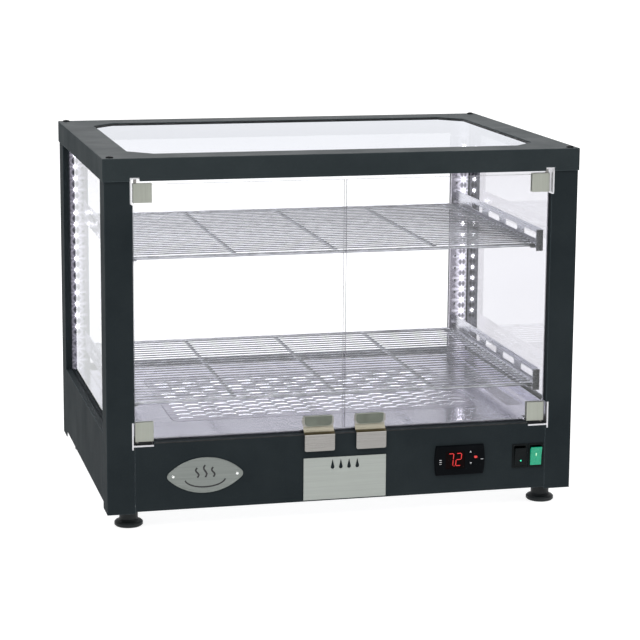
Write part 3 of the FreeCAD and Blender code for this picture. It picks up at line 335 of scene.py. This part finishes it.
# The loose plate is a darker copy of the deck sheet, as painted shade between the hoods. Its pressed hoods
# are a paler copy, as painted highlight.
SHADED_PLATE_STEEL = brushed_steel("plate_grain_painted_shade", "x", (0.30, 0.29, 0.36), (0.40, 0.39, 0.46), 0.2, 0.000006)
LIT_LOUVRE_STEEL = brushed_steel("louvre_grain_painted_highlight", "x", (0.74, 0.74, 0.8), (0.86, 0.86, 0.9), 0.14, 0.000006)
RACK_STEEL = brushed_steel("rack_grain", "y", (0.52, 0.52, 0.57), (0.66, 0.66, 0.71), 0.2)
UPRIGHT_STEEL = lit_upright()
DRAWER_STEEL = brushed_steel("drawer_grain", "x", (0.33, 0.352, 0.33), (0.38, 0.402, 0.38), 0.32, drift=0.15)
FITTING = pull_steel()
RIVET = brushed_steel("rivet_bright", "x", (0.80, 0.82, 0.80), (0.90, 0.92, 0.90), 0.12)
CLAMP = brushed_steel("clamp_satin", "z", (0.34, 0.355, 0.31), (0.41, 0.425, 0.38), 0.34, 0.000003, 0.6)
BRACKET = brushed_steel("bracket_satin", "z", (0.58, 0.58, 0.60), (0.68, 0.68, 0.70), 0.3)
GALVANISED = brushed_steel("galvanised_sheet", "x", (0.40, 0.41, 0.43), (0.60, 0.61, 0.63), 0.38)
BADGE_METAL = brushed_steel("badge_grain", "x", (0.19, 0.208, 0.196), (0.25, 0.268, 0.255), 0.34, 0.00001)
WIRE = plated_wire()
SIDE_GLASS = glass("glass_side", "X", (0.785, 0.78, 0.80), 0.55)
REAR_GLASS = glass("glass_rear", "Y", (0.985, 0.985, 0.992), 1.0)
TOP_GLASS = glass("glass_top", "Z", (0.985, 0.983, 0.995), 1.0)
RUBBER = rubber()
BLACK = moulded("black_moulding", (0.0045, 0.006, 0.0065), (0.008, 0.010, 0.0105), 0.36, 0.5, sheen=0.07)
FOOT_BLACK = moulded("foot_moulding", (0.006, 0.009, 0.010), (0.011, 0.014, 0.015), 0.4, 0.55, 380.0,
                     sheen=0.25)
GLOSS_BLACK = moulded("gloss_moulding", (0.0016, 0.0022, 0.003), (0.0030, 0.0038, 0.0048), 0.12, 0.22, 200.0,
                      0.00001, 0.03)
IVORY = moulded("ivory_moulding", (0.55, 0.5, 0.38), (0.66, 0.61, 0.5), 0.4, 0.55, sheen=0.4)
PULL_PAD = moulded("pull_pad_moulding", (0.075, 0.086, 0.064), (0.15, 0.166, 0.14), 0.3, 0.45, 300.0, 0.00003,
                   0.3)
BOARD = lamp_board_painted_glow()
WINDOW = moulded("display_filter", (0.003, 0.001, 0.001), (0.006, 0.002, 0.002), 0.1, 0.2, 200.0, 0.00001,
                 0.03)
GREEN = lit("green_lens", (0.0, 0.25, 0.125), 0.55, (0.001, 0.21, 0.115), 0.6)
LAMP = lit("lamp_glow", (1.0, 0.98, 1.0), 14.0, (0.9, 0.9, 0.95), 0.9)
DIGIT = lit("digit_glow", (1.0, 0.04, 0.035), 0.7, (0.3, 0.0, 0.0), 0.6)
PILOT = lit("pilot_glow", (0.05, 0.8, 0.45), 1.2, (0.0, 0.3, 0.15))
PALE_INK = enamel("pale_ink", (0.34, 0.35, 0.36), (0.5, 0.5, 0.5))
# The red mark on the set key is print; its glow is painted.
RED_INK_PAINTED_GLOW = lit("red_icon_painted_glow", (0.8, 0.03, 0.02), 0.55, (0.4, 0.02, 0.02))
GREEN_INK = lit("green_mark", (0.45, 0.85, 0.5), 0.45, (0.4, 0.7, 0.45))
BLACK_INK = enamel("black_enamel", (0.005, 0.005, 0.006), (0.01, 0.01, 0.011))
HOT_TUBE = heat_tinted()

LOOKS = {
    COAT: "post_front_left post_front_right post_rear_left post_rear_right front_fascia left_panel "
          "right_panel rear_panel",
    LIT_CAP_COAT: "top_frame",
    SCREW_COAT: "top_screws",
    SIDE_GLASS: "left_glass right_glass",
    REAR_GLASS: "rear_glass left_door_glass right_door_glass",
    TOP_GLASS: "top_glass",
    RUBBER: "top_gasket",
    DECK_STEEL: "deck",
    SHADED_TUB_STEEL: "water_tub tub_runners",
    SHADED_PLATE_STEEL: "deck_plate",
    RACK_STEEL: "lower_racks upper_racks",
    UPRIGHT_STEEL: "left_upright right_upright",
    DRAWER_STEEL: "drawer_front",
    FITTING: "left_door_pull right_door_pull hinge_pins",
    CLAMP: "left_door_clamps right_door_clamps",
    BRACKET: "hinge_brackets",
    WIRE: "lower_shelf upper_shelf",
    GALVANISED: "bottom_pan lamp_driver",
    HOT_TUBE: "heaters temperature_probe",
    BOARD: "led_strips",
    GLOSS_BLACK: "controller_bezel key_up key_set key_down",
    WINDOW: "controller_display",
    BLACK: "controller_body lamp_switch_housing power_switch_housing lamp_switch_rocker fan_frame fan_rotor "
           "cable_gland",
    GREEN: "power_switch_rocker",
    IVORY: "safety_thermostat terminal_block",
    BADGE_METAL: "badge",
    RIVET: "badge_rivets",
    FOOT_BLACK: "foot_front_left foot_front_right foot_rear_left foot_rear_right",
}
for material, names in LOOKS.items():
    for node_name in names.split():
        for place in nodes[node_name].material_slots:
            place.material = material


# ---------------------------------------------------------------- pieces made here

def piece(name, mesh_data, material, body):
    """Finishes a bmesh as a named piece that rides on a body."""
    mesh = bpy.data.meshes.new(name)
    mesh_data.to_mesh(mesh)
    mesh_data.free()
    mesh.materials.append(material)
    made = bpy.data.objects.new(name, mesh)
    bpy.context.collection.objects.link(made)
    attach(made, body)
    return made


def smooth(made):
    """Shades a piece's faces as one curved surface."""
    for face in made.data.polygons:
        face.use_smooth = True


def centre(low, high):
    """The (x, z) middle of a box seen from the front."""
    return (low.x + high.x) / 2, (low.z + high.z) / 2


def face_y(node_name, x, z):
    """How far back the front of a CAD node lies at (x, z)."""
    low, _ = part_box(node_name)
    hit, place, _, _ = nodes[node_name].ray_cast(Vector((x, low.y - 0.05, z)), Vector((0, 1, 0)))
    return place.y if hit else low.y


def plaque(mesh, outline, y, thickness, taper=0.0):
    """Adds a thin shape with (x, z) corners that stands out towards -Y, its face drawn in by the taper."""
    cx = sum(p[0] for p in outline) / len(outline)
    cz = sum(p[1] for p in outline) / len(outline)
    back = [mesh.verts.new((x, y, z)) for x, z in outline]
    front = [mesh.verts.new((cx + (x - cx) * (1 - taper), y - thickness, cz + (z - cz) * (1 - taper)))
             for x, z in outline]
    mesh.faces.new(front)
    mesh.faces.new(list(reversed(back)))
    for n in range(len(outline)):
        after = (n + 1) % len(outline)
        mesh.faces.new((back[n], back[after], front[after], front[n]))


def ribbon(mesh, path, width, y, thickness):
    """Adds a flat ribbon of even width along (x, z) points."""
    left, right = [], []
    for n, (x, z) in enumerate(path):
        before = Vector(path[max(n - 1, 0)])
        after = Vector(path[min(n + 1, len(path) - 1)])
        way = (after - before).normalized()
        left.append((x - way.y * width / 2, z + way.x * width / 2))
        right.append((x + way.y * width / 2, z - way.x * width / 2))
    plaque(mesh, left + right[::-1], y, thickness)


def arc_points(cx, cz, rx, rz, start, end, count=24):
    """The (x, z) points of a stretch of an ellipse, between two angles in degrees."""
    turns = [math.radians(start + (end - start) * n / (count - 1)) for n in range(count)]
    return [(cx + rx * math.cos(t), cz + rz * math.sin(t)) for t in turns]


def oval(cx, cz, rx, rz, count):
    """The corners of a closed ellipse, the last one 15 degrees short of the first."""
    return arc_points(cx, cz, rx, rz, 0, 345, count)


def rectangle(x0, z0, x1, z1):
    """The (x, z) corners of an upright rectangle."""
    return [(x0, z0), (x1, z0), (x1, z1), (x0, z1)]


def dome(mesh, place, radius, depth, segments):
    """Adds a ball squeezed along Y to the given share of its depth."""
    shape = Matrix.Translation(place) @ Matrix.Diagonal((1, depth, 1, 1))
    bmesh.ops.create_uvsphere(mesh, u_segments=segments, v_segments=10, radius=radius, matrix=shape)


# The ends of each bar of a seven-segment figure, as shares of its width and height, and the bars of each
# figure shown.
SEGMENTS = {
    "a": ((0, 1), (1, 1)), "b": ((1, 1), (1, 0.5)), "c": ((1, 0.5), (1, 0)), "d": ((1, 0), (0, 0)),
    "e": ((0, 0), (0, 0.5)), "f": ((0, 0.5), (0, 1)), "g": ((0, 0.5), (1, 0.5)),
}
FIGURES = {"7": "abc", "2": "abged"}
FIGURE_RISE = 0.08 * MM


def segment(mesh, start, end, width, y):
    """One bar of a seven-segment figure, with pointed ends."""
    a, b = Vector(start), Vector(end)
    way = (b - a).normalized()
    side = Vector((-way.y, way.x)) * width / 2
    a, b = a + way * width * 0.35, b - way * width * 0.35
    nose = way * width / 2
    corners = [a, a + nose + side, b - nose + side, b, b - nose - side, a + nose - side]
    plaque(mesh, [(p.x, p.y) for p in corners], y, FIGURE_RISE)


def digits():
    """Two lit figures that lean a little, with a point after the first."""
    low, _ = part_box("controller_display")
    wide, tall, lean = 8.6 * MM, 20.5 * MM, 0.09
    margin, step = 3.6 * MM, 13.6 * MM
    bar_width, dot = 1.25 * MM, 0.8 * MM
    y = low.y - 0.02 * MM
    base = low.z + 4.8 * MM
    mesh = bmesh.new()
    for n, figure in enumerate("72"):
        left = low.x + margin + step * n
        for bar in FIGURES[figure]:
            ends = [(left + u * wide + v * tall * lean, base + v * tall) for u, v in SEGMENTS[bar]]
            segment(mesh, *ends, bar_width, y)
    plaque(mesh, oval(low.x + 14.6 * MM, base - 0.2 * MM, dot, dot, 12), y, FIGURE_RISE)
    piece("display_digits", mesh, DIGIT, "cabinet")


def key_marks():
    """An arrow on each of the up and down keys, and an oval on the set key."""
    size, rise = 2.1 * MM, 0.12 * MM
    for name, turn in (("key_up", 90), ("key_down", -90)):
        low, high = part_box(name)
        cx, cz = centre(low, high)
        turns = [math.radians(turn + k) for k in (0, 120, 240)]
        arrow = [(cx + size * math.cos(t), cz + size * math.sin(t)) for t in turns]
        mesh = bmesh.new()
        plaque(mesh, arrow, low.y, rise, 0.1)
        piece(name + "_mark", mesh, PALE_INK, name + "_cap")
    low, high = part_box("key_set")
    mesh = bmesh.new()
    plaque(mesh, oval(*centre(low, high), 2.9 * MM, 2.1 * MM, 24), low.y, rise, 0.05)
    piece("key_set_mark", mesh, RED_INK_PAINTED_GLOW, "key_set_cap")


def bezel_marks():
    """A flat oval at the right end of the bezel, and three short bars, one above another, at its left."""
    low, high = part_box("controller_bezel")
    _, middle_z = centre(low, high)
    rise = 0.1 * MM
    mesh = bmesh.new()
    plaque(mesh, oval(high.x - 5.0 * MM, middle_z, 2.6 * MM, 0.6 * MM, 16), low.y, rise)
    x, half = low.x + 9.5 * MM, 1.9 * MM
    for n in range(3):
        z = low.z + (19.0 + 3.2 * n) * MM
        tall = (0.8 + 0.25 * n) * MM
        plaque(mesh, rectangle(x - half, z, x + half, z + tall), low.y, rise)
    piece("bezel_marks", mesh, PALE_INK, "cabinet")


def switch_marks():
    """A pilot light in the black rocker, and a pale bar on the green one."""
    low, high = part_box("lamp_switch_rocker")
    x, z = centre(low, high)[0] + 1.4 * MM, low.z + 8.6 * MM
    y = face_y("lamp_switch_rocker", x, z)
    mesh = bmesh.new()
    dome(mesh, (x, y + 0.5 * MM, z), 1.5 * MM, 0.8, 20)
    smooth(piece("pilot_light", mesh, PILOT, "lamp_rocker"))
    x, z = centre(*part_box("power_switch_rocker"))
    z += 4.0 * MM
    y = face_y("power_switch_rocker", x, z)
    mesh = bmesh.new()
    plaque(mesh, oval(x, z, 1.0 * MM, 4.2 * MM, 20), y, 0.25 * MM, 0.2)
    piece("power_mark", mesh, GREEN_INK, "power_rocker")


def badge_pattern():
    """A plain emblem in dark enamel: three rising waves over a shallow bowl."""
    cx, cz = centre(*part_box("badge"))
    y = face_y("badge", cx, cz)
    base, pitch, swing, rise = cz - 3.5 * MM, 13.0 * MM, 2.4 * MM, 0.2 * MM
    steps = 15
    mesh = bmesh.new()
    for n in (-1, 0, 1):
        tall = (20.0 if n == 0 else 16.0) * MM
        wave = [(cx + n * pitch + swing * math.sin(2 * math.pi * k / steps), base + tall * k / steps)
                for k in range(steps + 1)]
        ribbon(mesh, wave, 2.8 * MM, y, rise)
    bowl = arc_points(cx, cz - 5.5 * MM, 33 * MM, 14 * MM, 188, 352)
    ribbon(mesh, bowl, 2.3 * MM, y, rise)
    piece("badge_emblem", mesh, BLACK_INK, "cabinet")


def lamp_lenses():
    """A glowing dome on each lamp of the two strips."""
    radius, depth = 3.4 * MM, 0.42
    y = STRIP_LOW.y + 1.0 * MM
    mesh = bmesh.new()
    for side in (-1, 1):
        for n in range(LAMP_COUNT):
            z = STRIP_LOW.z + LAMP_FIRST + n * LAMP_PITCH
            dome(mesh, (side * LAMP_X, y, z), radius, depth, 18)
    smooth(piece("lamp_lenses", mesh, LAMP, "cabinet"))


def hood(mesh, x, y, z):
    """Adds a shallow lip that rises from the front edge of its slot and is lower towards the slot's ends."""
    half_length, rise = 13.0 * MM, 1.3 * MM
    front_edge, reach = -3.6 * MM, 5.4 * MM
    across, along = 12, 4
    rings = []
    for i in range(across + 1):
        u = -1 + 2 * i / across
        bow = math.sqrt(max(0.0, 1 - u * u))
        ring = []
        for j in range(along + 1):
            v = j / along
            lift = rise * bow * math.sin(v * math.pi / 2)
            back = front_edge + reach * v * (0.35 + 0.65 * bow)
            ring.append(mesh.verts.new((x + u * half_length, y + back, z + lift)))
        rings.append(ring)
    for a, b in zip(rings, rings[1:]):
        for j in range(along):
            mesh.faces.new((a[j], b[j], b[j + 1], a[j + 1]))


def louvre_hoods():
    """The lips pressed up over the slots of the loose plate, in rows that stand half a step apart."""
    low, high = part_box("deck_plate")
    rows, row_pitch, first_row = 23, 12.4 * MM, 20.0 * MM
    columns, column_pitch, first_column = 10, 50.0 * MM, 24.0 * MM
    mesh = bmesh.new()
    for row in range(rows):
        y = low.y + first_row + row * row_pitch
        row_start = low.x + first_column + column_pitch / 2 * (row % 2)
        for column in range(columns):
            hood(mesh, row_start + column * column_pitch, y, high.z + 0.02 * MM)
    # The hoods are painted paler than the plate they are pressed from: painted highlight.
    hoods = piece("louvre_hoods", mesh, LIT_LOUVRE_STEEL, "deck_plate_body")
    thick = hoods.modifiers.new("sheet", "SOLIDIFY")
    thick.thickness = 0.4 * MM
    thick.offset = 1.0
    smooth(hoods)


def hexagon(mesh, x, y, z, radius):
    """Adds the corners of a level hexagon."""
    turns = [math.radians(60 * k) for k in range(6)]
    return [mesh.verts.new((x + radius * math.cos(t), y + radius * math.sin(t), z)) for t in turns]


def screw_sockets():
    """A six-sided cup in the head of each lid screw, whose rim stands just above the head."""
    low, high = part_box("top_screws")
    head, socket = 6.2 * MM, 2.3 * MM
    mesh = bmesh.new()
    for x in (low.x + head, high.x - head):
        for y in (low.y + head, high.y - head):
            rim = hexagon(mesh, x, y, high.z + 0.05 * MM, socket)
            pit = hexagon(mesh, x, y, high.z - 1.2 * MM, 0.9 * socket)
            for k in range(6):
                after = (k + 1) % 6
                mesh.faces.new((rim[k], rim[after], pit[after], pit[k]))
            mesh.faces.new(pit)
    piece("screw_sockets", mesh, BLACK_INK, "cabinet")


def pull_pads():
    """The thin dark facing with round lower corners on the plate that clamps each pull to its glass."""
    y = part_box("left_door_glass")[0].y - 3.32 * MM
    inner, outer, r = 3.1 * MM, 4.1 * MM, 6.5 * MM
    for side, left_margin, right_margin in (("left", outer, inner), ("right", inner, outer)):
        low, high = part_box(side + "_door_pull")
        x0, x1 = low.x + left_margin, high.x - right_margin
        z0, z1 = high.z - 15.3 * MM, high.z + 0.4 * MM
        lower = [p for cx, turn in ((x0 + r, 180), (x1 - r, 270))
                 for p in arc_points(cx, z0 + r, r, r, turn, turn + 90, 7)]
        mesh = bmesh.new()
        plaque(mesh, lower + [(x1, z1), (x0, z1)], y, 0.35 * MM, 0.02)
        piece(side + "_door_pull_facing", mesh, PULL_PAD, side + "_door")


def sill_shadow_strip():
    """Thin black strip along the top edge of the fascia, which the doors close over: painted shadow in the
    gap there.
    """
    low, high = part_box("front_fascia")
    half = high.x - 32.5 * MM
    mesh = bmesh.new()
    plaque(mesh, rectangle(-half, high.z - 2.0 * MM, half, high.z - 0.2 * MM), low.y + 0.02 * MM, 0.35 * MM)
    # A black piece where there is only shade: painted shadow.
    piece("sill_shadow_strip", mesh, RUBBER, "cabinet")


def hinge_shadow_pads():
    """Thin black pad on the flat leg of each lower bracket, which the door's clamp turns over: painted shade
    under the clamp.
    """
    low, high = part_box("hinge_brackets")
    inner, outer = high.x - 33.7 * MM, high.x - 3.1 * MM
    front, back = low.y + 0.8 * MM, low.y + 27.0 * MM
    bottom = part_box("hinge_pins")[0].z + 0.05 * MM  # the pins stand on the flat legs
    top = bottom + 0.65 * MM
    size = Matrix.Diagonal((outer - inner, back - front, top - bottom, 1))
    mesh = bmesh.new()
    for side in (-1, 1):
        place = Matrix.Translation((side * (inner + outer) / 2, (front + back) / 2, (bottom + top) / 2))
        block = bmesh.ops.create_cube(mesh, size=1.0, matrix=place @ size)
        upright = [e for e in mesh.edges if e.verts[0] in block["verts"]
                   and abs(e.verts[0].co.z - e.verts[1].co.z) > 0.3 * MM]
        bmesh.ops.bevel(mesh, geom=upright, offset=2.5 * MM, segments=4, affect="EDGES")
    # A black piece where there is only shade: painted shade.
    piece("hinge_shadow_pads", mesh, BLACK, "cabinet")


def bracket_screws():
    """A dark screw head on the inner face of each upper bracket, near its top."""
    low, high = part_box("hinge_brackets")
    sides = 20
    profile = ((2.3, 0.0), (2.2, 0.5), (1.2, 0.75), (1.1, 0.3))  # radius and rise in mm, rim to socket
    mesh = bmesh.new()
    for side in (-1, 1):
        place = Vector((side * (high.x - 2.5 * MM), low.y + 26.0 * MM, high.z - 9.5 * MM))
        turn = Matrix.Rotation(math.radians(-90 * side), 4, "Y")
        rings = []
        for radius, rise in profile:
            ring = []
            for k in range(sides):
                t = 2 * math.pi * k / sides
                local = Vector((radius * math.cos(t), radius * math.sin(t), rise)) * MM
                ring.append(mesh.verts.new(place + turn @ local))
            rings.append(ring)
        for a, b in zip(rings, rings[1:]):
            for k in range(sides):
                after = (k + 1) % sides
                mesh.faces.new((a[k], a[after], b[after], b[k]))
        mesh.faces.new(rings[-1])
        mesh.faces.new(list(reversed(rings[0])))
    piece("bracket_screws", mesh, BLACK_INK, "cabinet")


pull_pads()
sill_shadow_strip()
hinge_shadow_pads()
bracket_screws()
digits()
key_marks()
bezel_marks()
switch_marks()
badge_pattern()
lamp_lenses()
louvre_hoods()
screw_sockets()


# ---------------------------------------------------------------- floor, light and camera

def studio_floor():
    """A wide pale sheet that glows softly, so that shadows on it stay faint, and is a little uneven."""
    mesh = bmesh.new()
    bmesh.ops.create_grid(mesh, x_segments=40, y_segments=40, size=60.0)
    data = bpy.data.meshes.new("studio_floor")
    mesh.to_mesh(data)
    mesh.free()
    f = Finish("pale_floor", Specular_IOR_Level=0.02, Emission_Strength=0.84)
    f.drive("Base Color", f.ramp(f.noise(0.8, 3.0), (0.3, (0.33, 0.33, 0.33)), (0.7, (0.36, 0.36, 0.36))))
    f.drive("Emission Color", f.ramp(f.noise(1.1, 3.0), (0.3, (0.98, 0.98, 0.98)), (0.7, (1.0, 1.0, 1.0))))
    f.drive("Roughness", f.spread(f.noise(3.0, 2.0), 0.7, 0.8))
    data.materials.append(f.done())
    made = bpy.data.objects.new("studio_floor", data)
    bpy.context.collection.objects.link(made)


def studio_world():
    """Soft surroundings: bright above and behind, dimmer in front, a little cooler near the horizon."""
    world = bpy.data.worlds.new("studio")
    bpy.context.scene.world = world
    world.use_nodes = True
    tree = world.node_tree
    link = tree.links.new
    way = tree.nodes.new("ShaderNodeTexCoord").outputs["Generated"]
    parts = tree.nodes.new("ShaderNodeSeparateXYZ")
    link(way, parts.inputs[0])
    height = tree.nodes.new("ShaderNodeValToRGB")
    height.color_ramp.elements[0].position = 0.0
    height.color_ramp.elements[0].color = (0.90, 0.90, 0.95, 1)
    height.color_ramp.elements[1].position = 0.55
    height.color_ramp.elements[1].color = (1.0, 1.0, 1.0, 1)
    link(parts.outputs["Z"], height.inputs["Fac"])
    depth = tree.nodes.new("ShaderNodeMapRange")
    for name, value in (("From Min", -0.9), ("From Max", 0.3), ("To Min", 0.4), ("To Max", 1.0)):
        depth.inputs[name].default_value = value
    link(parts.outputs["Y"], depth.inputs["Value"])
    shade = tree.nodes.new("ShaderNodeVectorMath")
    shade.operation = "SCALE"
    link(height.outputs["Color"], shade.inputs[0])
    link(depth.outputs["Result"], shade.inputs["Scale"])
    ground = tree.nodes["Background"]
    link(shade.outputs["Vector"], ground.inputs["Color"])
    ground.inputs["Strength"].default_value = 1.0


def softbox(name, place, target, size, power):
    """A rectangular light aimed at a point."""
    light = bpy.data.lights.new(name, "AREA")
    light.shape = "RECTANGLE"
    light.size, light.size_y = size
    light.energy = power
    made = bpy.data.objects.new(name, light)
    bpy.context.collection.objects.link(made)
    made.location = place
    made.rotation_euler = (Vector(target) - Vector(place)).to_track_quat("-Z", "Y").to_euler()


def sunlight(name, way, strength, spread):
    """Light from one side of the sky, which shines along the given way."""
    light = bpy.data.lights.new(name, "SUN")
    light.energy = strength
    light.angle = math.radians(spread)
    made = bpy.data.objects.new(name, light)
    bpy.context.collection.objects.link(made)
    made.rotation_euler = Vector(way).to_track_quat("-Z", "Y").to_euler()


def camera():
    """Long lens from the front left, a little above the case."""
    data = bpy.data.cameras.new("camera")
    data.sensor_width = 36.0
    data.lens = 120.33
    data.shift_y = -0.05
    data.clip_end = 200.0
    made = bpy.data.objects.new("camera", data)
    bpy.context.collection.objects.link(made)
    yaw, pitch, roll = (math.radians(a) for a in (13.891, 10.559, 0.402))
    aim = Matrix.Rotation(-yaw, 4, "Z") @ Matrix.Rotation(math.pi / 2 - pitch, 4, "X")
    place = Matrix.Translation((-0.8484, -3.53115, 1.0071))
    made.matrix_world = place @ aim @ Matrix.Rotation(roll, 4, "Z")
    bpy.context.scene.camera = made


studio_floor()
studio_world()
sunlight("broad_light", (0.25, 0.55, -1.0), 1.1, 50.0)
softbox("key_light", (-1.6, -1.2, 3.2), (0, 0, 0.3), (2.6, 2.6), 40.0)
softbox("fill_light", (2.6, -2.2, 1.8), (0, 0, 0.3), (1.6, 2.2), 16.0)
softbox("back_light", (0.5, 3.2, 2.6), (0, 0, 0.3), (3.0, 2.0), 45.0)
camera()

scene = bpy.context.scene
scene.view_settings.view_transform = "Standard"
scene.cycles.transparent_max_bounces = 32
